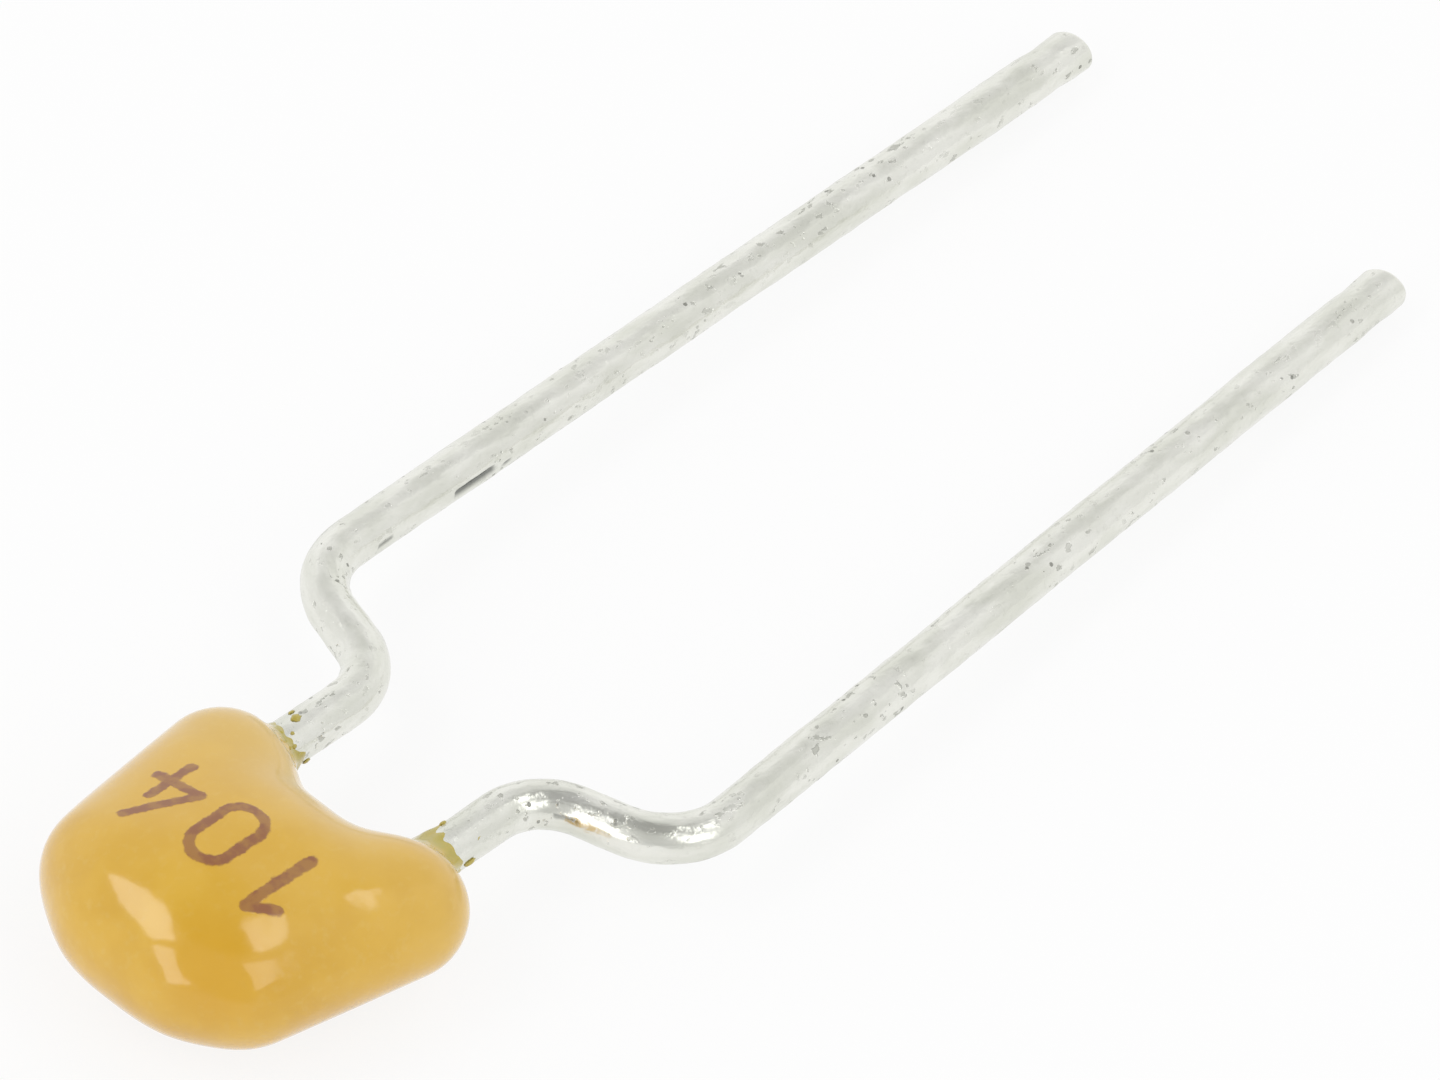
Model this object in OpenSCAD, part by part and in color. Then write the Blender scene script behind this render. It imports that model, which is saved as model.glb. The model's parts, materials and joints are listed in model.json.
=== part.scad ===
// Multilayer ceramic capacitor with radial leads: a layered ceramic chip soldered between two kinked
// tinned wires and dipped in epoxy. It lies as it comes to rest, on the underside of its body and its tips.
// X runs along the wires towards their tips, Y across them, and Z up, out of the front face.

/* [Wire leads] */
// Diameter of the tinned wire
wire_d = 0.5; // [0.4:0.05:0.6]
// Spacing of the wires where they leave the coating
exit_spacing = 2; // [1.8:0.05:2.4]
// Spacing of the wires where the straight legs begin
leg_spacing = 5; // [4.6:0.1:6.4]
// Angle by which the kink turns each wire outward
kink_angle = 73; // [60:1:80]
// Centreline radius of the bend next to the body
inner_bend_r = 0.7; // [0.5:0.05:0.8]
// Centreline radius of the bend where the leg begins
outer_bend_r = 0.83; // [0.5:0.01:0.9]
// How far bending draws the wire in, on its radius
bend_draw = 0.004; // [0.002:0.001:0.02]
// Distance from the chip's middle to the start of the kink
kink_start = 2.76; // [2.4:0.02:3.6]
// Distance from the chip's middle to the tip of the left wire
reach_left = 14.63; // [8:0.01:30]
// Distance from the chip's middle to the tip of the right wire
reach_right = 14.79; // [8:0.01:30]
// Angle by which the left leg leans inward
lean_left = 4.3; // [-5:0.1:5]
// Angle by which the right leg leans inward
lean_right = -0.7; // [-5:0.1:5]
// Slant of the sheared wire tips
tip_slant = 14; // [0:1:30]
// Length of wire past the chip's middle, inside the coating
wire_root = 0.6; // [0.5:0.05:0.9]

/* [Ceramic chip] */
// Size of the ceramic block along the wires
block_w = 1; // [0.8:0.05:1.2]
// Thickness of the ceramic block
block_t = 0.8; // [0.6:0.05:1]
// Radius of the block's tumbled edges
block_edge_r = 0.06; // [0.03:0.01:0.1]
// Number of electrode plates in both combs together
plate_count = 24; // [8:2:32]
// Thickness of an electrode plate
plate_t = 0.01; // [0.008:0.001:0.012]
// Plain ceramic above and below the plates
cover_t = 0.1; // [0.06:0.01:0.14]
// Plain ceramic beside the plates
side_margin = 0.12; // [0.08:0.01:0.2]
// Gap between a plate's free end and the end of the block
end_margin = 0.2; // [0.1:0.01:0.3]

/* [Terminations and solder] */
// Wall of the metal cap on each end of the block
cap_t = 0.03; // [0.02:0.005:0.05]
// Length of each cap along the block
cap_len = 0.3; // [0.2:0.01:0.4]
// Solder between a cap and its wire
solder_film = 0.02; // [0.015:0.005:0.05]
// Radius of the hollow flanks of the solder
solder_hollow_r = 0.15; // [0.1:0.01:0.18]
// Thickness of the solder where its flanks run out on the cap
solder_toe = 0.02; // [0.015:0.005:0.04]
// Depth by which the hollow flanks cut into the wire's outline
solder_bite = 0.02; // [0.01:0.005:0.04]

/* [Epoxy coating] */
// Epoxy over the front and back of the chip
coat_face = 0.52; // [0.3:0.01:0.8]
// Epoxy past the chip's far edge
coat_end = 0.98; // [0.6:0.01:1.4]
// Epoxy past the chip's near edge, between the wires
coat_root = 0.92; // [0.6:0.01:1.2]
// Epoxy past each end of the chip, before the epoxy round the wires is added
coat_side = 0.37; // [0.2:0.01:0.5]
// Squareness of the outline, where 2 is an ellipse
outline_power = 3.65; // [2:0.05:4]
// Squareness of the section, where 2 is an ellipse
section_power = 2.2; // [2:0.05:3]
// Share by which the body widens for each millimetre towards the wires
coat_flare = 0.08; // [0:0.005:0.12]
// Epoxy round each wire at its root
root_cover = 0.45; // [0.3:0.01:0.55]
// Distance from the chip's middle back to where the epoxy round a wire begins
root_x = 0.47; // [0.4:0.01:0.7]
// Distance of that beginning inside the line of the wire
root_in = 0.1; // [0:0.01:0.2]
// Epoxy round the left wire at its shoulder
shoulder_cover_left = 0.41; // [0.3:0.01:0.5]
// Epoxy round the right wire at its shoulder
shoulder_cover_right = 0.41; // [0.3:0.01:0.5]
// Distance from the chip's middle to the left shoulder
shoulder_x_left = 1.19; // [0.9:0.01:1.4]
// Distance from the chip's middle to the right shoulder
shoulder_x_right = 1.17; // [0.9:0.01:1.4]
// Distance of the left shoulder outside its wire
shoulder_out_left = 0.27; // [0:0.01:0.3]
// Distance of the right shoulder outside its wire
shoulder_out_right = 0.11; // [0:0.01:0.3]
// Distance from the chip's middle to the end of the epoxy on the left wire
meniscus_end_left = 2.05; // [1.95:0.01:2.35]
// Distance from the chip's middle to the end of the epoxy on the right wire
meniscus_end_right = 1.92; // [1.9:0.01:2.35]
// Rise of the epoxy on a wire for each millimetre back from its end
meniscus_rise = 0.13; // [0.1:0.01:0.4]
// Width over which the epoxy round the wires flows into the body
sleeve_blend = 0.45; // [0.3:0.01:0.6]
// Width over which the film on a wire flows into the body
meniscus_blend = 0.15; // [0.1:0.01:0.4]

/* [Hidden] */
$fn = 48;

// Wires and chip: the chip fills the space between the wires
wire_r = wire_d / 2;
exit_y = exit_spacing / 2;
leg_y = leg_spacing / 2;
chip_len = exit_spacing - wire_d - 2 * solder_film;
block_len = chip_len - 2 * cap_t;
chip_half_w = block_w / 2 + cap_t;
chip_half_t = block_t / 2 + cap_t;
bend_lap = 0.02;
plate_pitch = (block_t - 2 * cover_t - plate_t) / (plate_count - 1);

// Coating: half sizes and middle of the main dip, and the ends of the sleeves of epoxy round the wires
dip_half_l = chip_half_w + (coat_end + coat_root) / 2;
dip_half_w = chip_len / 2 + coat_side;
dip_half_t = chip_half_t + coat_face;
dip_x = (coat_root - coat_end) / 2;
root_r = wire_r + root_cover;
root_y = exit_y - root_in;
shoulder_left = [shoulder_x_left, -exit_y - shoulder_out_left, 0];
shoulder_right = [shoulder_x_right, exit_y + shoulder_out_right, 0];

// Skin mesh: rings across the body, closer together beside the wires and at both poles
inner_rings = 6;
wire_rings = 14;
outer_rings = 8;
band_margin = 0.15;
wire_band = wire_r + band_margin;
ring_sides = 84;
ring_crowding = 0.75;
spine_power = 3;
edge_steps = 24;
edge_limit = 2 * (dip_half_l + exit_spacing);

function mix(a, b, t) = a + (b - a) * t;
function blend(a, b, width) =
    let (t = max(0, min(1, 0.5 + (b - a) / (2 * width)))) mix(b, a, t) - width * t * (1 - t);

// Distance-like fields of the coating's forms: negative inside, zero on the surface
function dip_field(p) =
    let (half_w = dip_half_w * (1 + coat_flare * (p.x - dip_x)))
    let (along = pow(abs(p.x - dip_x) / dip_half_l, outline_power))
    let (across = pow(abs(p.y) / half_w, outline_power))
    let (through = pow(abs(p.z) / dip_half_t, section_power))
    (pow(pow(along + across, section_power / outline_power) + through, 1 / section_power) - 1) * dip_half_t;
function sleeve_field(p, root, shoulder, shoulder_r) =
    let (line = shoulder - root)
    let (t = max(0, min(1, (p - root) * line / (line * line))))
    norm(p - root - t * line) - mix(root_r, shoulder_r, t);
function meniscus_field(p, y, start, end) =
    let (film_r = wire_r + meniscus_rise * (end - p.x))
    max(norm([p.y - y, p.z]) - film_r, p.x - end - wire_r, start - p.x);
function with_lead(field, p, side, shoulder, cover, end) =
    let (root = [-root_x, side * root_y, 0])
    let (sleeved = blend(field, sleeve_field(p, root, shoulder, wire_r + cover), sleeve_blend))
    blend(sleeved, meniscus_field(p, side * exit_y, shoulder.x, end), meniscus_blend);
function skin_field(p) =
    let (right = with_lead(dip_field(p), p, 1, shoulder_right, shoulder_cover_right, meniscus_end_right))
    with_lead(right, p, -1, shoulder_left, shoulder_cover_left, meniscus_end_left);

// Distance from a point inside the coating to its surface, found by halving
function edge(from, along, near, far, steps) =
    let (middle = (near + far) / 2)
    steps == 0 ? middle
    : skin_field(from + middle * along) < 0 ? edge(from, along, middle, far, steps - 1)
    : edge(from, along, near, middle, steps - 1);
function pole_y(x, side) = side * edge([x, 0, 0], [0, side, 0], 0, edge_limit, edge_steps);

pole_left = pole_y(shoulder_x_left, -1);
pole_right = pole_y(shoulder_x_right, 1);

function ring_places(pole) = [
    for (i = [0 : inner_rings - 1]) (exit_y - wire_band) * i / inner_rings,
    for (i = [0 : wire_rings - 1]) exit_y + wire_band * (2 * i / wire_rings - 1),
    for (i = [0 : outer_rings - 1]) mix(exit_y + wire_band, pole, sin(90 * i / outer_rings))
];
left_places = ring_places(-pole_left);
ring_ys = [
    for (i = [len(left_places) - 1 : -1 : 1]) -left_places[i],
    for (y = ring_places(pole_right)) y
];

// Middle line that the rings are drawn round: it swings from the dip's middle to the shoulders
function spine_x(y) =
    y < 0 ? mix(dip_x, shoulder_x_left, pow(y / pole_left, spine_power))
    : mix(dip_x, shoulder_x_right, pow(y / pole_right, spine_power));
function ring_angle(i) =
    let (turn = 360 * i / ring_sides) turn - ring_crowding * sin(turn) * 180 / PI;
function ring(y) =
    let (from = [spine_x(y), y, 0])
    [
        for (i = [0 : ring_sides - 1])
            let (along = [cos(ring_angle(i)), 0, sin(ring_angle(i))])
            from + along * edge(from, along, 0, edge_limit, edge_steps)
    ];

skin_points = [
    [shoulder_x_left, pole_left, 0],
    for (y = ring_ys) each ring(y),
    [shoulder_x_right, pole_right, 0]
];
last_ring = len(ring_ys) - 1;
last_point = len(skin_points) - 1;
function corner(row, i) = 1 + row * ring_sides + i % ring_sides;
skin_faces = [
    for (i = [0 : ring_sides - 1]) [0, corner(0, i + 1), corner(0, i)],
    for (row = [0 : last_ring - 1], i = [0 : ring_sides - 1]) each [
        [corner(row, i), corner(row, i + 1), corner(row + 1, i + 1)],
        [corner(row, i), corner(row + 1, i + 1), corner(row + 1, i)]
    ],
    for (i = [0 : ring_sides - 1]) [last_point, corner(last_ring, i), corner(last_ring, i + 1)]
];

// Rest: the body's underside and the wire tips touch the table
reach_max = max(reach_left, reach_right);
rest_tilt = atan((dip_half_t - wire_r) / (reach_max - dip_x));
function settled(p) =
    [p.x * cos(rest_tilt) + p.z * sin(rest_tilt), p.y, p.z * cos(rest_tilt) - p.x * sin(rest_tilt)];
settled_skin = [for (p = skin_points) settled(p)];
back_x = min([for (p = settled_skin) p.x]);
front_x = settled([reach_max + wire_r * tan(tip_slant), 0, 0]).x;
low_z = min([for (p = settled_skin) p.z]);

// Wire route, drawn for the right wire: root, inner bend, cross run, outer bend, straight leg
function cross_len(lean) =
    (leg_y - exit_y - inner_bend_r * (1 - cos(kink_angle)) - outer_bend_r * (cos(lean) - cos(kink_angle)))
    / sin(kink_angle);
function leg_x(lean) =
    kink_start + inner_bend_r * sin(kink_angle) + cross_len(lean) * cos(kink_angle)
    + outer_bend_r * (sin(kink_angle) + sin(lean));
function leg_len(lean, reach) = (reach - leg_x(lean)) / cos(lean);
function outermost(lean, reach) = wire_r + leg_y + max(0, -leg_len(lean, reach) * sin(lean));
middle_y = (outermost(lean_right, reach_right) - outermost(lean_left, reach_left)) / 2;

module at_rest() {
    translate([-(back_x + front_x) / 2, -middle_y, -low_z])
        rotate([0, rest_tilt, 0])
            children();
}

module left_side() {
    mirror([0, 1, 0])
        children();
}

// A straight run that laps into the bend at either end
module rod(len) {
    translate([-bend_lap, 0, 0])
        rotate([0, 90, 0])
            cylinder(r = wire_r, h = len + 2 * bend_lap);
}

module after_rod(len) {
    translate([len, 0, 0])
        children();
}

// A bend to the left
module bend(r, angle) {
    translate([0, r, 0])
        rotate([0, 0, -90])
            rotate_extrude(angle = angle)
                translate([r, 0])
                    circle(wire_r - bend_draw);
}

module after_bend(r, angle) {
    translate([0, r, 0])
        rotate([0, 0, angle])
            translate([0, -r, 0])
                children();
}

// The straight leg, sheared off at its tip
module leg(len, slant) {
    spare = wire_d * (1 + tan(abs(slant)));
    difference() {
        rod(len + spare);
        after_rod(len)
            rotate([0, 0, slant])
                translate([0, -wire_d, -wire_d])
                    cube([2 * spare, 2 * wire_d, 2 * wire_d]);
    }
}

module wire(lean, reach, slant) {
    root_len = wire_root + kink_start;
    translate([-wire_root, exit_y, 0]) {
        rod(root_len);
        after_rod(root_len) {
            bend(inner_bend_r, kink_angle);
            after_bend(inner_bend_r, kink_angle) {
                rod(cross_len(lean));
                after_rod(cross_len(lean))
                    left_side() {
                        bend(outer_bend_r, kink_angle + lean);
                        after_bend(outer_bend_r, kink_angle + lean)
                            left_side()
                                leg(leg_len(lean, reach), slant);
                    }
            }
        }
    }
}

module wire_left() {
    left_side()
        wire(lean_left, reach_left, -tip_slant);
}

module wire_right() {
    wire(lean_right, reach_right, tip_slant);
}

module rounded_section(w, t, r) {
    square([w - 2 * r, t], center = true);
    square([w, t - 2 * r], center = true);
    for (x = [-1, 1], y = [-1, 1])
        translate([x * (w / 2 - r), y * (t / 2 - r)])
            circle(r);
}

module rounded_bar(grown, len) {
    rotate([90, 0, 0])
        linear_extrude(len, center = true)
            rounded_section(block_w + 2 * grown, block_t + 2 * grown, block_edge_r + grown);
}

module block() {
    rounded_bar(0, block_len);
}

module cap_outline() {
    translate([0, (chip_len - cap_len) / 2, 0])
        rounded_bar(cap_t, cap_len);
}

module cap() {
    difference() {
        cap_outline();
        block();
    }
}

// Every second plate, starting from the given one, reaching the right end of the block
module comb(first) {
    for (i = [first : 2 : plate_count - 1])
        translate([0, end_margin / 2, (i - (plate_count - 1) / 2) * plate_pitch])
            cube([block_w - 2 * side_margin, block_len - end_margin, plate_t], center = true);
}

module comb_left() {
    left_side()
        comb(0);
}

module comb_right() {
    comb(1);
}

// Solder that fills the gap between the right cap and its wire, with two hollow flanks
module fillet_outline() {
    wire_gap = solder_film + wire_r;
    hollow_gap = solder_toe + solder_hollow_r;
    span = wire_r + solder_hollow_r - solder_bite;
    hollow_z = sqrt(span * span - (wire_gap - hollow_gap) * (wire_gap - hollow_gap));
    run_out = wire_gap - wire_r * (wire_gap - hollow_gap) / span;
    translate([0, chip_len / 2, 0])
        rotate([90, 0, 90])
            linear_extrude(2 * chip_half_w, center = true)
                difference() {
                    translate([0, -hollow_z])
                        square([run_out, 2 * hollow_z]);
                    for (side = [-1, 1])
                        translate([hollow_gap, side * hollow_z])
                            circle(solder_hollow_r);
                }
}

module fillet() {
    difference() {
        fillet_outline();
        translate([-wire_root, exit_y, 0])
            rod(wire_root + kink_start);
    }
}

// Everything that the epoxy is cast round
module core() {
    block();
    cap_outline();
    fillet_outline();
    wire_right();
    left_side() {
        cap_outline();
        fillet_outline();
    }
    wire_left();
}

module epoxy_coating() {
    color("goldenrod")
        at_rest()
            difference() {
                polyhedron(skin_points, skin_faces);
                core();
            }
}

module lead_left() {
    color("silver")
        at_rest()
            wire_left();
}

module lead_right() {
    color("silver")
        at_rest()
            wire_right();
}

module ceramic_block() {
    color("tan")
        at_rest()
            difference() {
                block();
                comb_left();
                comb_right();
            }
}

module electrodes_left() {
    color("dimgray")
        at_rest()
            comb_left();
}

module electrodes_right() {
    color("gray")
        at_rest()
            comb_right();
}

module termination_left() {
    color("lightgray")
        at_rest()
            left_side()
                cap();
}

module termination_right() {
    color("lightgray")
        at_rest()
            cap();
}

module solder_left() {
    color("lightsteelblue")
        at_rest()
            left_side()
                fillet();
}

module solder_right() {
    color("lightsteelblue")
        at_rest()
            fillet();
}

epoxy_coating();
lead_left();
lead_right();
ceramic_block();
electrodes_left();
electrodes_right();
termination_left();
termination_right();
solder_left();
solder_right();
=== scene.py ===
"""Finishes of a dipped multilayer ceramic capacitor that lies on a pale table."""

import json
import math

import bmesh
import bpy
from mathutils import Matrix, Vector, noise


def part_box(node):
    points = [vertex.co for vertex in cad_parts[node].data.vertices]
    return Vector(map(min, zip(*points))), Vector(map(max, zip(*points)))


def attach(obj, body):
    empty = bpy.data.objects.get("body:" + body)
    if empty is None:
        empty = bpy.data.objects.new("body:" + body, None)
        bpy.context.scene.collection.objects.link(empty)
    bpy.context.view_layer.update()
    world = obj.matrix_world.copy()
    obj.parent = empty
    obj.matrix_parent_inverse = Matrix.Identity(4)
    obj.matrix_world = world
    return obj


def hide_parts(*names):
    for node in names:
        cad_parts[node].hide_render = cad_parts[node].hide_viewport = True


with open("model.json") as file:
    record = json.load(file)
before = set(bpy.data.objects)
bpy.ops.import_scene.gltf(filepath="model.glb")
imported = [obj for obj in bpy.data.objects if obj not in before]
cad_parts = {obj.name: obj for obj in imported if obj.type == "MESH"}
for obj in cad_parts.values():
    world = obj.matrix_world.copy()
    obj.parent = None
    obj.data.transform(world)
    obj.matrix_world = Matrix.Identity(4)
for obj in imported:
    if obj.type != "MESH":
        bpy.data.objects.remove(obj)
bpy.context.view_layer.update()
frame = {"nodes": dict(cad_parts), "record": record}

# Sizes are in millimetres and angles in degrees. The wires, coating and print are in the chip's own frame:
# X along the wires to their tips, Y across them to the right one, Z out of the front face
MM = 0.001

# Wires, with the same route as the solids
WIRE_R = 0.25
WIRE_ROOT = 0.6
EXIT_Y = 1.0
LEG_Y = 2.5
KINK_START = 2.76
KINK_ANGLE = 73
INNER_BEND_R = 0.7
OUTER_BEND_R = 0.83
TIP_SLANT = 14
LEADS = {
    "lead_left": {"side": -1, "lean": 4.3, "reach": 14.63, "seed": 3.7},
    "lead_right": {"side": 1, "lean": -0.7, "reach": 14.79, "seed": 11.2},
}

# Facets of the wires and the rounded edge of the cut tips
WIRE_SIDES = 64
RING_STEP = 0.034
TIP_ROUND = 0.036
TIP_ROUND_STEPS = 5

# Uneven tin: long swells and short lumps, set in so that they seldom stand past the drawn wire,
# and a waist pinched just before the tip
SWELL = 0.008
SWELL_RATE = Vector((1.3, 2.2, 2.2))
LUMP = 0.005
LUMP_RATE = Vector((6.0, 8.0, 8.0))
TIN_SET_IN = 0.5
TIP_WAIST = 0.012
TIP_WAIST_AT = 0.4
TIP_WAIST_LEN = 0.16

# Scrapes on a wire: where they start and end along it, their angle round it, half width and depth
SCRAPES = {
    "lead_left": [(4.0, 4.32, 20, 0.02, 0.006)],
    "lead_right": [
        (7.02, 7.5, 175, 0.055, 0.03),
        (5.9, 6.1, 172, 0.02, 0.012),
        (7.66, 7.74, 182, 0.022, 0.01),
    ],
}
SCRAPE_STEEPNESS = 1.6

# Skin of the coating: stubs that plug the bores, edges kept sharp, triangles joined, then evened out
WELD = 1e-5
STUB_START = 0.4
STUB_END = 2.4
STUB_R = (0.275, 0.235)
CREASE_ANGLE = 40
JOIN_ANGLE = 20
JOIN_SKEW = 60
SKIN_LEVELS = 2
SKIN_VOXEL = 0.025
RELAX_SHARE = 0.5
RELAX_ROUNDS = 6
SKIN_GROWTH = 0.006

# Thin film of the coating that runs out raggedly on each wire
FILM_START = 1.45
FILM_RAGGED = 0.024
FILM_RATE = Vector((3, 9, 9))
FILM_SHIFT = 4
FILM_TRIM = {-1: 0.012, 1: 0.02}

# Middle of the painted shade: the gold is painted deepest round here, on the corner that faces the camera
PAINTED_SHADE_MIDDLE = (-0.95, -0.95, 0.45)

# Shallow hollows of the front face along the chip's left edge: middle, reach in X and Y, and depth
HOLLOWS = [(-0.56, -0.93, 0.285, 0.68, 0.03), (0.34, -1.27, 0.3, 0.56, 0.029)]
HOLLOW_FADE = 0.4

# Flecks of epoxy on the wires: lead, length along it, angle round it, length, width and height
FLECKS = [
    ("lead_right", 2.69, 84, 0.11, 0.09, 0.026),
    ("lead_right", 2.53, 111, 0.05, 0.04, 0.014),
    ("lead_right", 2.47, 138, 0.06, 0.05, 0.016),
    ("lead_right", 2.46, 160, 0.11, 0.06, 0.018),
    ("lead_right", 2.74, 58, 0.07, 0.05, 0.014),
    ("lead_right", 2.62, 205, 0.09, 0.07, 0.018),
    ("lead_left", 2.77, 354, 0.13, 0.07, 0.022),
    ("lead_left", 2.79, 130, 0.08, 0.06, 0.016),
]
FLECK_FACETS = 3
FLECK_RAGGED = 0.45
FLECK_RATE = 1.7
FLECK_SHIFT = 40
FLECK_SET_IN = 0.004

# Printed code on the front face: strokes in the code's own frame, reading along +Y with the top towards -X
PRINT_BASE = 0.46
PRINT_HALF_STROKE = 0.06
PRINT_WANDER = 0.05
PRINT_BLUR_OUT = 0.012
PRINT_BLUR_IN = 0.016
PRINT_FROM_Z = (0.2, 0.3)
CODE_STROKES = [
    ((-0.98, 0.7), (-0.76, 0.92)),
    ((-0.76, 0.92), (-0.76, 0.02)),
    ((0.86, 0.92), (0.47, 0.28)),
    ((0.47, 0.28), (1.03, 0.28)),
    ((0.86, 0.56), (0.86, 0.0)),
]
CODE_LOOP = ((-0.06, 0.27), (-0.06, 0.66))
CODE_LOOP_R = 0.22

# Colours as they look on a screen, from 0 to 255
GOLD_DEEP = (213, 165, 36)
GOLD_LIGHT = (221, 175, 52)
GOLD_CLOUD = (224, 188, 94)
GOLD_PAINTED_SHEEN = (230, 184, 60)
GOLD_PAINTED_SHADE = (213, 159, 4)
GOLD_ROOT = (230, 198, 118)
EPOXY_SPECK = (160, 114, 44)
EPOXY_FILM = (178, 168, 70)
INK = (144, 86, 44)
TIN_GREY = (222, 223, 213)
TIN_PALE = (238, 238, 231)
TIN_CRYSTAL = (196, 196, 186)
TIN_SMUDGE = (156, 157, 147)
TIN_PIT = (112, 112, 105)
TIN_SCRAPE = (104, 106, 103)
CORE_DARK = (150, 118, 96)
CORE_LIGHT = (196, 168, 146)
CERAMIC_DARK = (176, 150, 116)
CERAMIC_LIGHT = (196, 172, 138)
CERAMIC_SPOT = (126, 104, 78)
NICKEL_DARK = (126, 124, 118)
NICKEL_LIGHT = (160, 158, 150)
NICKEL_PORE = (84, 82, 78)
SILVER_DARK = (176, 176, 170)
SILVER_LIGHT = (212, 212, 206)
SOLDER_BRIGHT = (204, 205, 203)
SOLDER_FROST = (172, 174, 174)

# Spots in a finish: where the edge begins as a part of the size, and how sharply cells are picked
SPOT_EDGE = 0.6
SPOT_PICK = 0.02

# Camera
LENS = 441
CAMERA_AZIMUTH = -49.837
CAMERA_ELEVATION = 46.468
CAMERA_ROLL = 4.919
CAMERA_DISTANCE = 170.507
CAMERA_AIM = (7.187, 0.237, -0.112)
CAMERA_CLIP = 10

# Table: its size from the middle, its grey, and the share of plain white where it is seen
TABLE_REACH = 3000
TABLE_GREY = 0.94
TABLE_WHITE_SHARE = 0.85

# Tent: strength of its dim and bright cloth, the near side's share of the bright one,
# where its other parts are and how far each one dims it
WHITE = (1, 1, 1, 1)
TENT_DIM = 0.44
TENT_BRIGHT = 1.01
TENT_NEAR = 0.84
BRIGHT_AZIMUTH = 115
OPENING_ELEVATION = 35
OPENING_SHADE = 0.5
BACK_AZIMUTH = 172
BACK_SHADE = 0.32
FRONT_AZIMUTH = 30
FRONT_ELEVATION = 8
FRONT_SHADE = 0.1

# Lamps: name, azimuth and elevation of the low end and of the high end, spread, and radiance
LAMP_DISTANCE = 600
LAMPS = [
    ("right_upper_box", (24, 60), (75.4, 66), 7.5, 2.0),
    ("right_lower_box", (-8.5, 18.8), (-0.2, 53.7), 28, 1.15),
    ("left_upper_box", (-110, 46), (-153, 55), 17, 2.2),
    ("left_lower_box", (-75, 5), (-104, 40), 15, 1.75),
]


def chip_frame():
    """From the chip's own frame to the frame of the part at rest, which tips the legs onto the table."""
    axes = {m["name"]: Vector(m["axis"]) for m in frame["record"]["mounts"]}
    up = axes["right_leg"].cross(axes["left_leg"])
    low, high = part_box("ceramic_block")
    tilt = Matrix.Rotation(math.atan2(up.x, up.z), 4, "Y")
    return Matrix.Translation((low + high) / 2) @ tilt @ Matrix.Scale(MM, 4)


CHIP = chip_frame()


class Value:
    """A shader socket that Python arithmetic turns into Math nodes."""

    def __init__(self, finish, socket):
        self.finish = finish
        self.socket = socket

    def math(self, operation, *others):
        return self.finish.node("Math", {"operation": operation}, [self, *others])

    def __add__(self, other):
        return self.math("ADD", other)

    def __sub__(self, other):
        return self.math("SUBTRACT", other)

    def __rsub__(self, other):
        return self.finish.node("Math", {"operation": "SUBTRACT"}, [other, self])

    def __mul__(self, other):
        return self.math("MULTIPLY", other)

    def __truediv__(self, other):
        return self.math("DIVIDE", other)

    def __pow__(self, other):
        return self.math("POWER", other)

    def __abs__(self):
        return self.math("ABSOLUTE")

    __radd__ = __add__
    __rmul__ = __mul__

    def least(self, other):
        return self.math("MINIMUM", other)

    def most(self, other):
        return self.math("MAXIMUM", other)

    def rise(self, low, high):
        """0 below low and 1 above high, with a smooth step between; high may be the lower one."""
        if low > high:
            return 1 - self.rise(high, low)
        settings = {"interpolation_type": "SMOOTHSTEP"}
        return self.finish.node("MapRange", settings, {"Value": self, "From Min": low, "From Max": high})


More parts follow.
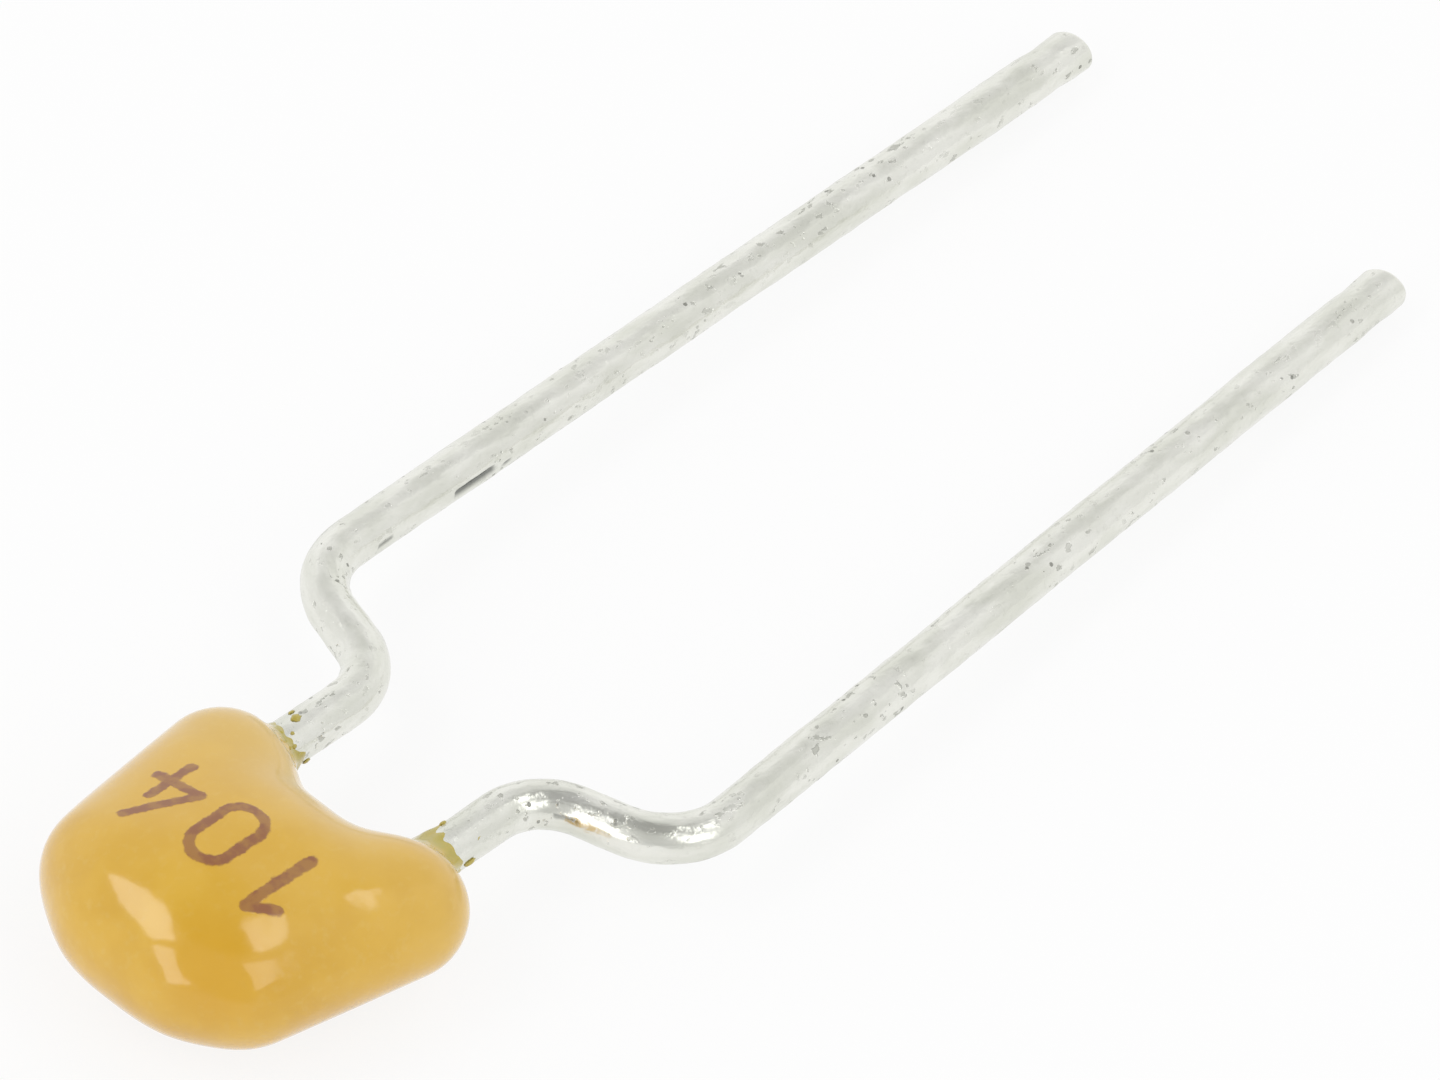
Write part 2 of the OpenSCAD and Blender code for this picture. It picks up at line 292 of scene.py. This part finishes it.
class Finish:
    """A node tree, with a method that adds any node and short ones for those used most."""

    def __init__(self, tree):
        self.tree = tree
        tree.nodes.clear()

    def node(self, kind, settings=None, inputs=None, output=0):
        made = self.tree.nodes.new("ShaderNode" + kind)
        for name, value in (settings or {}).items():
            setattr(made, name, value)
        pairs = inputs.items() if isinstance(inputs, dict) else enumerate(inputs or [])
        for key, value in pairs:
            if isinstance(value, Value):
                self.tree.links.new(value.socket, made.inputs[key])
            elif value is not None:
                made.inputs[key].default_value = value
        return Value(self, made.outputs[output] if made.outputs else None)

    def place(self):
        """Object coordinates as millimetres in the chip's frame."""
        where = self.node("TexCoord", output="Object")
        location, turn, scale = CHIP.decompose()
        inputs = {"Vector": where, "Location": location, "Rotation": turn.to_euler(), "Scale": scale}
        return self.node("Mapping", {"vector_type": "TEXTURE"}, inputs)

    def attribute(self, name, output):
        return self.node("Attribute", {"attribute_name": name}, output=output)

    def split(self, vector):
        parts = self.node("SeparateXYZ", None, [vector])
        return [Value(self, socket) for socket in parts.socket.node.outputs]

    def distance(self, place, point):
        return self.node("VectorMath", {"operation": "DISTANCE"}, [place, point], output="Value")

    def stretched(self, vector, scale):
        return self.node("VectorMath", {"operation": "MULTIPLY"}, [vector, scale])

    def grain(self, vector, scale, detail=2.0, rough=0.5):
        inputs = {"Vector": vector, "Scale": scale, "Detail": detail, "Roughness": rough}
        return self.node("TexNoise", None, inputs)

    def spots(self, vector, scale, size, share):
        """1 inside round spots in a share of the cells, with size as a part of a cell."""
        cells = self.node("TexVoronoi", None, {"Vector": vector, "Scale": scale})
        outputs = cells.socket.node.outputs
        near = Value(self, outputs["Distance"]).rise(size, size * SPOT_EDGE)
        chance = self.split(Value(self, outputs["Color"]))[0]
        return near * chance.rise(1 - share, 1 - share + SPOT_PICK)

    def mix(self, share, first, second):
        """One colour into another."""
        inputs = {0: share, 6: first, 7: second}
        return self.node("Mix", {"data_type": "RGBA"}, inputs, output=2)

    def bump(self, height, depth, normal=None):
        """Relief of the given depth in millimetres for a height from 0 to 1."""
        return self.node("Bump", None, {"Height": height, "Distance": depth * MM, "Normal": normal})

    def surface(self, **inputs):
        """The closing shader, from sockets named with underscores."""
        named = {name.replace("_", " ").title(): value for name, value in inputs.items()}
        if "Ior" in named:
            named["IOR"] = named.pop("Ior")
        shader = self.node("BsdfPrincipled", None, named)
        self.node("OutputMaterial", None, {"Surface": shader})


def finish(name):
    """A new material and the node tree to fill."""
    material = bpy.data.materials.new(name)
    material.use_nodes = True
    return material, Finish(material.node_tree)


def rgb(colour):
    """A screen colour from 0 to 255 as the linear colour that renders as it."""
    def linear(level):
        share = level / 255
        return share / 12.92 if share <= 0.04045 else ((share + 0.055) / 1.055) ** 2.4
    red, green, blue = colour
    return (linear(red), linear(green), linear(blue), 1.0)


def from_stroke(across, up, start, end):
    """Distance from a straight stroke of the printed code."""
    run = (end[0] - start[0], end[1] - start[1])
    square = run[0] ** 2 + run[1] ** 2
    dx, dy = across - start[0], up - start[1]
    along = ((dx * run[0] + dy * run[1]) / square).most(0.0).least(1.0)
    return ((dx - along * run[0]) ** 2 + (dy - along * run[1]) ** 2) ** 0.5


def printed_code(f, place, wander):
    """1 on the ink of the printed code, with uneven edges."""
    x, y, z = f.split(place)
    up = PRINT_BASE - x
    near = abs(from_stroke(y, up, *CODE_LOOP) - CODE_LOOP_R)
    for start, end in CODE_STROKES:
        near = near.least(from_stroke(y, up, start, end))
    edge = near + (wander - 0.5) * PRINT_WANDER
    ink = edge.rise(PRINT_HALF_STROKE + PRINT_BLUR_OUT, PRINT_HALF_STROKE - PRINT_BLUR_IN)
    return ink * z.rise(*PRINT_FROM_Z)


def amber_epoxy():
    """Dipped epoxy: glossy deep gold, olive where a thin film lies on the wires, with a printed code."""
    material, f = finish("amber_epoxy")
    place = f.place()
    x, y, z = f.split(place)
    mottle = f.grain(place, scale=1.3, detail=4)
    fine = f.grain(place, scale=11, detail=3)
    gold = f.mix(mottle.rise(0.35, 0.65), rgb(GOLD_DEEP), rgb(GOLD_LIGHT))
    gold = f.mix(fine.rise(0.5, 0.8) * 0.3, gold, rgb(GOLD_CLOUD))
    # Painted sheen: the front face is painted paler, standing in for the bright tent it reflects
    gold = f.mix(z.rise(0.5, 0.9) * 0.35, gold, rgb(GOLD_PAINTED_SHEEN))
    # Painted shade: deeper gold round the corner that faces the camera
    gold = f.mix(f.distance(place, PAINTED_SHADE_MIDDLE).rise(0.85, 0.15) * 0.7, gold, rgb(GOLD_PAINTED_SHADE))
    gold = f.mix(x.rise(0.3, 1.5) * (0.2 + 0.3 * y.rise(-1.2, -0.3)), gold, rgb(GOLD_ROOT))
    specks = f.spots(place, scale=2.6, size=0.06, share=0.3)
    gold = f.mix(specks * 0.4, gold, rgb(EPOXY_SPECK))
    over_wire = ((abs(y) - EXIT_Y) ** 2 + z ** 2) ** 0.5 - WIRE_R
    thin = over_wire.rise(0.11, 0.015) * x.rise(1.55, 1.8) * (0.55 + 0.9 * fine)
    gold = f.mix(thin.least(1.0) * 0.85, gold, rgb(EPOXY_FILM))
    wander = f.grain(place, scale=14, detail=2)
    ink = printed_code(f, place, wander)
    worn = f.grain(place, scale=6, detail=3)
    colour = f.mix(ink * (0.78 + 0.2 * worn.rise(0.4, 0.6)), gold, rgb(INK))
    ripple = f.grain(place, scale=2.2, detail=2)
    relief = f.bump(ripple, depth=0.012)
    relief = f.bump(1 - specks, depth=0.004, normal=relief)
    relief = f.bump(ink, depth=0.002, normal=relief)
    gloss = 0.1 + 0.05 * mottle + 0.16 * ink
    f.surface(
        base_color=colour, roughness=gloss, ior=1.58, coat_weight=0.5, coat_roughness=0.08, normal=relief)
    return material


def tinned_wire():
    """Hot-dipped tin: pale satin metal with dull pits and dark scrapes; the cut tips show the core."""
    material, f = finish("tinned_wire")
    place = f.attribute("wire_place", "Vector")
    drawn = f.stretched(place, (0.4, 1.0, 1.0))
    patches = f.grain(drawn, scale=3.6, detail=3, rough=0.55)
    crystals = f.grain(place, scale=22, detail=2)
    clusters = f.grain(place, scale=1.6, detail=1).rise(0.42, 0.6)
    smears = f.grain(f.stretched(place, (0.7, 1.0, 1.0)), scale=11, detail=3)
    smudges = smears.rise(0.6, 0.68) * (0.25 + 0.75 * clusters)
    pits = f.spots(place, scale=8, size=0.22, share=0.22) * clusters
    dull = smudges.most(pits)
    scrape = f.attribute("scrape", "Fac")
    cut = f.attribute("cut_face", "Fac")
    tin = f.mix(patches.rise(0.3, 0.7), rgb(TIN_GREY), rgb(TIN_PALE))
    tin = f.mix(crystals.rise(0.55, 0.75) * 0.15, tin, rgb(TIN_CRYSTAL))
    tin = f.mix(smudges * 0.5, tin, rgb(TIN_SMUDGE))
    tin = f.mix(pits * 0.7, tin, rgb(TIN_PIT))
    tin = f.mix(scrape * 0.85, tin, rgb(TIN_SCRAPE))
    shear = f.grain(f.stretched(place, (1.0, 3.0, 40.0)), scale=3, detail=3)
    core = f.mix(shear.rise(0.35, 0.65), rgb(CORE_DARK), rgb(CORE_LIGHT))
    colour = f.mix(cut * 0.9, tin, core)
    roughness = 0.16 + 0.1 * patches + 0.05 * crystals + 0.2 * dull
    relief = f.bump(patches, depth=0.026)
    relief = f.bump(crystals, depth=0.002, normal=relief)
    relief = f.bump(1 - dull, depth=0.008, normal=relief)
    relief = f.bump(shear * cut, depth=0.004, normal=relief)
    f.surface(base_color=colour, metallic=1.0, roughness=roughness, normal=relief)
    return material


def sintered_ceramic():
    """The fired block: matt tan with fine grain and a few dark spots."""
    material, f = finish("sintered_ceramic")
    place = f.place()
    grain = f.grain(place, scale=40, detail=4, rough=0.7)
    cloud = f.grain(place, scale=3, detail=2)
    tan = f.mix(cloud.rise(0.3, 0.7), rgb(CERAMIC_DARK), rgb(CERAMIC_LIGHT))
    tan = f.mix(f.spots(place, scale=12, size=0.16, share=0.3), tan, rgb(CERAMIC_SPOT))
    f.surface(base_color=tan, roughness=0.5 + 0.3 * grain, normal=f.bump(grain, depth=0.004))
    return material


def electrode_nickel():
    """Fired nickel film: dull grey with pores."""
    material, f = finish("electrode_nickel")
    place = f.place()
    cloud = f.grain(place, scale=8, detail=4)
    nickel = f.mix(cloud.rise(0.35, 0.65), rgb(NICKEL_DARK), rgb(NICKEL_LIGHT))
    nickel = f.mix(f.spots(place, scale=22, size=0.2, share=0.35), nickel, rgb(NICKEL_PORE))
    f.surface(base_color=nickel, metallic=1.0, roughness=0.4 + 0.2 * cloud)
    return material


def fired_termination():
    """Plated end caps: pale grey metal with a coarse fired skin."""
    material, f = finish("fired_termination")
    place = f.place()
    grain = f.grain(place, scale=18, detail=4, rough=0.65)
    silver = f.mix(grain.rise(0.3, 0.7), rgb(SILVER_DARK), rgb(SILVER_LIGHT))
    relief = f.bump(grain, depth=0.006)
    f.surface(base_color=silver, metallic=1.0, roughness=0.38 + 0.2 * grain, normal=relief)
    return material


def soft_solder():
    """Solder: bright where it flowed, with dull frost between."""
    material, f = finish("soft_solder")
    place = f.place()
    frost = f.grain(place, scale=9, detail=5, rough=0.6)
    solder = f.mix(frost.rise(0.4, 0.6), rgb(SOLDER_BRIGHT), rgb(SOLDER_FROST))
    roughness = 0.16 + 0.3 * frost.rise(0.35, 0.65)
    relief = f.bump(frost, depth=0.005)
    f.surface(base_color=solder, metallic=1.0, roughness=roughness, normal=relief)
    return material


def piece(name, bm, material):
    """A mesh in the chip's frame as an object of the scene."""
    bmesh.ops.transform(bm, matrix=CHIP, verts=bm.verts)
    mesh = bpy.data.meshes.new(name)
    bm.to_mesh(mesh)
    bm.free()
    mesh.shade_smooth()
    mesh.materials.append(material)
    made = bpy.data.objects.new(name, mesh)
    bpy.context.scene.collection.objects.link(made)
    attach(made, "root")
    return made


def wire_runs(lean, reach):
    """Length and turn of each run of a wire, from its root to its tip."""
    kink, lean = math.radians(KINK_ANGLE), math.radians(lean)
    inner_drop = INNER_BEND_R * (1 - math.cos(kink))
    outer_drop = OUTER_BEND_R * (math.cos(lean) - math.cos(kink))
    cross = (LEG_Y - EXIT_Y - inner_drop - outer_drop) / math.sin(kink)
    leg_x = KINK_START + INNER_BEND_R * math.sin(kink) + cross * math.cos(kink)
    leg_x += OUTER_BEND_R * (math.sin(kink) + math.sin(lean))
    leg = (reach - leg_x) / math.cos(lean)
    return [
        (WIRE_ROOT + KINK_START, 0),
        (INNER_BEND_R * kink, kink),
        (cross, 0),
        (OUTER_BEND_R * (kink + lean), -kink - lean),
        (leg, 0),
    ]


def station(runs, along):
    """Point and heading of a wire's middle line at a length from its root."""
    x, y, heading = -WIRE_ROOT, EXIT_Y, 0.0
    for length, turn in runs:
        step = min(along, length)
        bend = turn * step / length
        if turn:
            r = length / turn
            x += r * (math.sin(heading + bend) - math.sin(heading))
            y += r * (math.cos(heading) - math.cos(heading + bend))
        else:
            x += step * math.cos(heading)
            y += step * math.sin(heading)
        heading += bend
        along -= step
    return Vector((x + along * math.cos(heading), y + along * math.sin(heading), 0)), heading


def bent(name, point):
    """A point of a straight wire along X, carried to its place on the bent one."""
    spec = LEADS[name]
    middle, heading = station(wire_runs(spec["lean"], spec["reach"]), point.x)
    across = Vector((-math.sin(heading), math.cos(heading), 0))
    place = middle + point.y * across + Vector((0, 0, point.z))
    place.y *= spec["side"]
    return place


def straight_wire(length, slant):
    """A wire along X before it is bent, sheared off at its tip, with the corners of the cut face."""
    bm = bmesh.new()
    spare = 2 * WIRE_R
    lay = Matrix.Translation(((length + spare) / 2, 0, 0)) @ Matrix.Rotation(math.pi / 2, 4, "Y")
    bmesh.ops.create_cone(
        bm, cap_ends=True, segments=WIRE_SIDES, radius1=WIRE_R, radius2=WIRE_R,
        depth=length + spare, matrix=lay)
    normal = Vector((math.cos(math.radians(slant)), math.sin(math.radians(slant)), 0))
    cut = bmesh.ops.bisect_plane(
        bm, geom=[*bm.verts, *bm.edges, *bm.faces], plane_co=(length, 0, 0), plane_no=normal,
        clear_outer=True)
    rim = [e for e in cut["geom_cut"] if isinstance(e, bmesh.types.BMEdge)]
    bmesh.ops.contextual_create(bm, geom=rim)
    bmesh.ops.bevel(
        bm, geom=rim, offset=TIP_ROUND, offset_type="OFFSET", segments=TIP_ROUND_STEPS, profile=0.5,
        affect="EDGES", material=-1)
    runs = [e for e in bm.edges if abs(e.verts[0].co.x - e.verts[1].co.x) > length / 2]
    bmesh.ops.subdivide_edges(bm, edges=runs, cuts=round(length / RING_STEP), use_grid_fill=True)
    bmesh.ops.recalc_face_normals(bm, faces=bm.faces)
    tip = max(bm.faces, key=lambda face: face.calc_center_median().x)
    return bm, {v.index for v in tip.verts}


def swell(point, seed, length):
    """How far an uneven coat of tin stands out from the drawn wire."""
    shift = Vector((0, 0, seed))
    slow = noise.noise(point * SWELL_RATE + shift)
    quick = noise.noise(point * LUMP_RATE - shift)
    waist = math.exp(-((length - TIP_WAIST_AT - point.x) / TIP_WAIST_LEN) ** 2)
    return SWELL * (slow - TIN_SET_IN) + LUMP * (quick - TIN_SET_IN) - TIP_WAIST * waist


def scraped(point, marks):
    """Share and depth of the deepest scrape at a point of a wire's surface."""
    share, depth = 0.0, 0.0
    for start, end, angle, half_width, deep in marks:
        past = max(start - point.x, 0, point.x - end)
        turn = math.atan2(point.z, point.y) - math.radians(angle)
        aside = WIRE_R * ((turn + math.pi) % (2 * math.pi) - math.pi)
        inside = SCRAPE_STEEPNESS * (1 - math.hypot(past, aside) / half_width)
        inside = max(0.0, min(1.0, inside))
        share = max(share, inside)
        depth = max(depth, deep * inside)
    return share, depth


def lead(name, material):
    """A kinked wire: a straight one that is tinned unevenly and bent along its route."""
    spec = LEADS[name]
    length = sum(run for run, turn in wire_runs(spec["lean"], spec["reach"]))
    bm, tip = straight_wire(length, spec["side"] * TIP_SLANT)
    place = bm.verts.layers.float_vector.new("wire_place")
    scrape = bm.verts.layers.float.new("scrape")
    cut_face = bm.verts.layers.float.new("cut_face")
    for v in bm.verts:
        v[place] = v.co + Vector((spec["seed"], 0, 0))
        v[scrape], depth = scraped(v.co, SCRAPES[name])
        v[cut_face] = float(v.index in tip)
        out = Vector((0, v.co.y, v.co.z)).normalized()
        if v.index not in tip:
            v.co += out * (swell(v.co, spec["seed"], length) - depth)
        v.co = bent(name, v.co)
    bmesh.ops.recalc_face_normals(bm, faces=bm.faces)
    made = piece(name + "_wire", bm, material)
    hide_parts(name)


def rough_skin():
    """The solid's own facets, with each bore plugged by a stub so that only the outside is skinned."""
    bm = bmesh.new()
    bm.from_mesh(frame["nodes"]["epoxy_coating"].data)
    bmesh.ops.transform(bm, matrix=CHIP.inverted(), verts=bm.verts)
    bmesh.ops.remove_doubles(bm, verts=bm.verts, dist=WELD)
    for side in (-1, 1):
        lay = Matrix.Translation(((STUB_START + STUB_END) / 2, side * EXIT_Y, 0))
        bmesh.ops.create_cone(
            bm, cap_ends=True, segments=WIRE_SIDES, radius1=STUB_R[0], radius2=STUB_R[1],
            depth=STUB_END - STUB_START, matrix=lay @ Matrix.Rotation(math.pi / 2, 4, "Y"))
    crease = bm.edges.layers.float.new("crease_edge")
    for e in bm.edges:
        if e.calc_face_angle(0) > math.radians(CREASE_ANGLE):
            e[crease] = 1.0
    bmesh.ops.join_triangles(
        bm, faces=bm.faces, angle_face_threshold=math.radians(JOIN_ANGLE),
        angle_shape_threshold=math.radians(JOIN_SKEW))
    mesh = bpy.data.meshes.new("rough_skin")
    bm.to_mesh(mesh)
    bm.free()
    return mesh


def even_skin():
    """The rough skin as one smooth, evenly divided surface."""
    rough = rough_skin()
    shell = bpy.data.objects.new("rough_skin", rough)
    bpy.context.scene.collection.objects.link(shell)
    smooth = shell.modifiers.new("smooth", "SUBSURF")
    smooth.levels = smooth.render_levels = SKIN_LEVELS
    even = shell.modifiers.new("even", "REMESH")
    even.mode = "VOXEL"
    even.voxel_size = SKIN_VOXEL
    relax = shell.modifiers.new("relax", "SMOOTH")
    relax.factor = RELAX_SHARE
    relax.iterations = RELAX_ROUNDS
    ready = shell.evaluated_get(bpy.context.evaluated_depsgraph_get())
    skin = bmesh.new()
    skin.from_mesh(ready.to_mesh())
    bpy.data.objects.remove(shell)
    bpy.data.meshes.remove(rough)
    return skin


def hollow_depth(point):
    """Depth of the shallow hollows at a point, which fade out down the side of the coating."""
    front = max(0.0, min(1.0, point.z / HOLLOW_FADE))
    depth = 0.0
    for x, y, reach_x, reach_y, deepest in HOLLOWS:
        depth += deepest * math.exp(-((point.x - x) / reach_x) ** 2 - ((point.y - y) / reach_y) ** 2)
    return depth * front * front * (3 - 2 * front)


def coating(material):
    """The dipped skin, with a ragged end to the film on each wire."""
    skin = even_skin()
    skin.normal_update()
    for v in skin.verts:
        v.co += v.normal * (SKIN_GROWTH - hollow_depth(v.co))
        side = math.copysign(1, v.co.y)
        out = Vector((0, v.co.y - side * EXIT_Y, v.co.z))
        if v.co.x > FILM_START and out.length < 2 * WIRE_R:
            share = min(1.0, (v.co.x - FILM_START) / WIRE_R)
            on_wire = Vector((v.co.x, out.y, out.z))
            ragged = noise.noise(on_wire * FILM_RATE + Vector((0, 0, FILM_SHIFT * side)))
            v.co += out.normalized() * share * (FILM_RAGGED * ragged - FILM_TRIM[side])
    made = piece("dipped_coating", skin, material)
    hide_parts("epoxy_coating")


def flecks(material):
    """Specks of epoxy that were left on the wires past the end of the film."""
    bm = bmesh.new()
    for name, along, angle, length, width, height in FLECKS:
        drop = bmesh.ops.create_icosphere(bm, subdivisions=FLECK_FACETS, radius=1.0)["verts"]
        a = math.radians(angle)
        out = Vector((0, math.cos(a), math.sin(a)))
        aside = Vector((0, -math.sin(a), math.cos(a)))
        shift = Vector((along * FLECK_SHIFT, 0, 0))
        for v in drop:
            ragged = 1 + FLECK_RAGGED * noise.noise(v.co * FLECK_RATE + shift)
            x = v.co.x * length / 2 * ragged
            y = v.co.y * width / 2 * ragged
            z = WIRE_R - FLECK_SET_IN + v.co.z * height - y * y / (2 * WIRE_R)
            v.co = bent(name, Vector((along + x, 0, 0)) + aside * y + out * z)
    bmesh.ops.recalc_face_normals(bm, faces=bm.faces)
    piece("epoxy_flecks", bm, material)


def dress(material, *names):
    """A finish for solids that keep their own form."""
    for name in names:
        mesh = frame["nodes"][name].data
        mesh.materials.clear()
        mesh.materials.append(material)


def direction(azimuth, elevation):
    """Unit vector from the part; azimuth 0 is towards -Y and 90 towards +X."""
    a, e = math.radians(azimuth), math.radians(elevation)
    return Vector((math.sin(a) * math.cos(e), -math.cos(a) * math.cos(e), math.sin(e)))


def softbox(name, low, high, spread, radiance):
    """A long lamp from one direction up to another; its radiance is 1 where white renders as white."""
    distance = LAMP_DISTANCE * MM
    foot, head = direction(*low), direction(*high)
    out = (foot + head).normalized()
    up = (head - foot).normalized()
    lamp = bpy.data.lights.new(name, "AREA")
    lamp.shape = "RECTANGLE"
    lamp.size = 2 * distance * math.tan(math.radians(spread) / 2)
    lamp.size_y = 2 * distance * math.tan(foot.angle(head) / 2)
    lamp.energy = radiance * math.pi * lamp.size * lamp.size_y
    made = bpy.data.objects.new(name, lamp)
    turn = Matrix((up.cross(out), up, out)).transposed().to_4x4()
    made.matrix_world = Matrix.Translation(out * distance) @ turn
    bpy.context.scene.collection.objects.link(made)


def seen_directly(f):
    """1 for the camera and for mirror and glass rays."""
    rays = f.node("LightPath").socket.node.outputs
    names = ("Is Camera Ray", "Is Glossy Ray", "Is Transmission Ray")
    straight, mirrored, clear = (Value(f, rays[name]) for name in names)
    return straight.most(mirrored.most(clear))


def table():
    """A wide pale table that shows soft shadows and otherwise looks almost white."""
    material, f = finish("pale_table")
    shade = f.node("BsdfDiffuse", None, {"Color": (TABLE_GREY, TABLE_GREY, TABLE_GREY, 1)})
    white = f.node("Emission", None, {"Color": WHITE, "Strength": 1.0})
    both = f.node("MixShader", None, {0: seen_directly(f) * TABLE_WHITE_SHARE, 1: shade, 2: white})
    f.node("OutputMaterial", None, {"Surface": both})
    bm = bmesh.new()
    bmesh.ops.create_grid(bm, x_segments=1, y_segments=1, size=TABLE_REACH * MM)
    mesh = bpy.data.meshes.new("table")
    bm.to_mesh(mesh)
    bm.free()
    mesh.materials.append(material)
    made = bpy.data.objects.new("table", mesh)
    bpy.context.scene.collection.objects.link(made)


def tent():
    """A pale tent round the part: brightest on the far side, dim overhead and where the camera looks in."""
    world = bpy.data.worlds.new("tent")
    bpy.context.scene.world = world
    world.use_nodes = True
    f = Finish(world.node_tree)
    ray = f.node("TexCoord", output="Generated")
    height = f.split(ray)[2]

    def towards(azimuth, elevation):
        inputs = [ray, direction(azimuth, elevation)]
        return f.node("VectorMath", {"operation": "DOT_PRODUCT"}, inputs, output="Value")

    def glow(strength):
        return f.node("Background", None, {"Color": WHITE, "Strength": strength})

    far = towards(BRIGHT_AZIMUTH, 0).rise(-0.1, 0.9)
    front = towards(FRONT_AZIMUTH, FRONT_ELEVATION).rise(0.6, 0.95)
    opening = towards(CAMERA_AZIMUTH, OPENING_ELEVATION).rise(0.72, 0.9)
    ceiling = height.rise(0.83, 0.95)
    back = height.rise(0.4, 0.75) * towards(BACK_AZIMUTH, 0).rise(-0.3, -0.1)
    cloth = TENT_NEAR + (1 - TENT_NEAR) * far
    cloth = cloth * (1 - OPENING_SHADE * opening) * (1 - ceiling)
    cloth = cloth * (1 - BACK_SHADE * back) * (1 - FRONT_SHADE * front)
    lit = f.node("MixShader", None, {0: cloth, 1: glow(TENT_DIM), 2: glow(TENT_BRIGHT)})
    rays = f.node("LightPath", output="Is Camera Ray")
    both = f.node("MixShader", None, {0: rays, 1: lit, 2: glow(1.0)})
    f.node("OutputWorld", None, {"Surface": both})


def camera():
    """The photo's view: a long lens that looks down on the part past the left corner of its body."""
    lens = bpy.data.cameras.new("camera")
    lens.lens = LENS
    lens.clip_start = CAMERA_CLIP * MM
    made = bpy.data.objects.new("camera", lens)
    out = direction(CAMERA_AZIMUTH, CAMERA_ELEVATION)
    turn = (-out).to_track_quat("-Z", "Y").to_matrix().to_4x4()
    roll = Matrix.Rotation(math.radians(CAMERA_ROLL), 4, "Z")
    aim = CHIP @ Vector(CAMERA_AIM)
    made.matrix_world = Matrix.Translation(aim + out * CAMERA_DISTANCE * MM) @ turn @ roll
    bpy.context.scene.collection.objects.link(made)
    bpy.context.scene.camera = made


epoxy = amber_epoxy()
tinned = tinned_wire()
coating(epoxy)
flecks(epoxy)
for lead_name in LEADS:
    lead(lead_name, tinned)
dress(sintered_ceramic(), "ceramic_block")
dress(electrode_nickel(), "electrodes_left", "electrodes_right")
dress(fired_termination(), "termination_left", "termination_right")
dress(soft_solder(), "solder_left", "solder_right")
table()
tent()
for lamp_spec in LAMPS:
    softbox(*lamp_spec)
camera()
bpy.context.scene.view_settings.view_transform = "Standard"
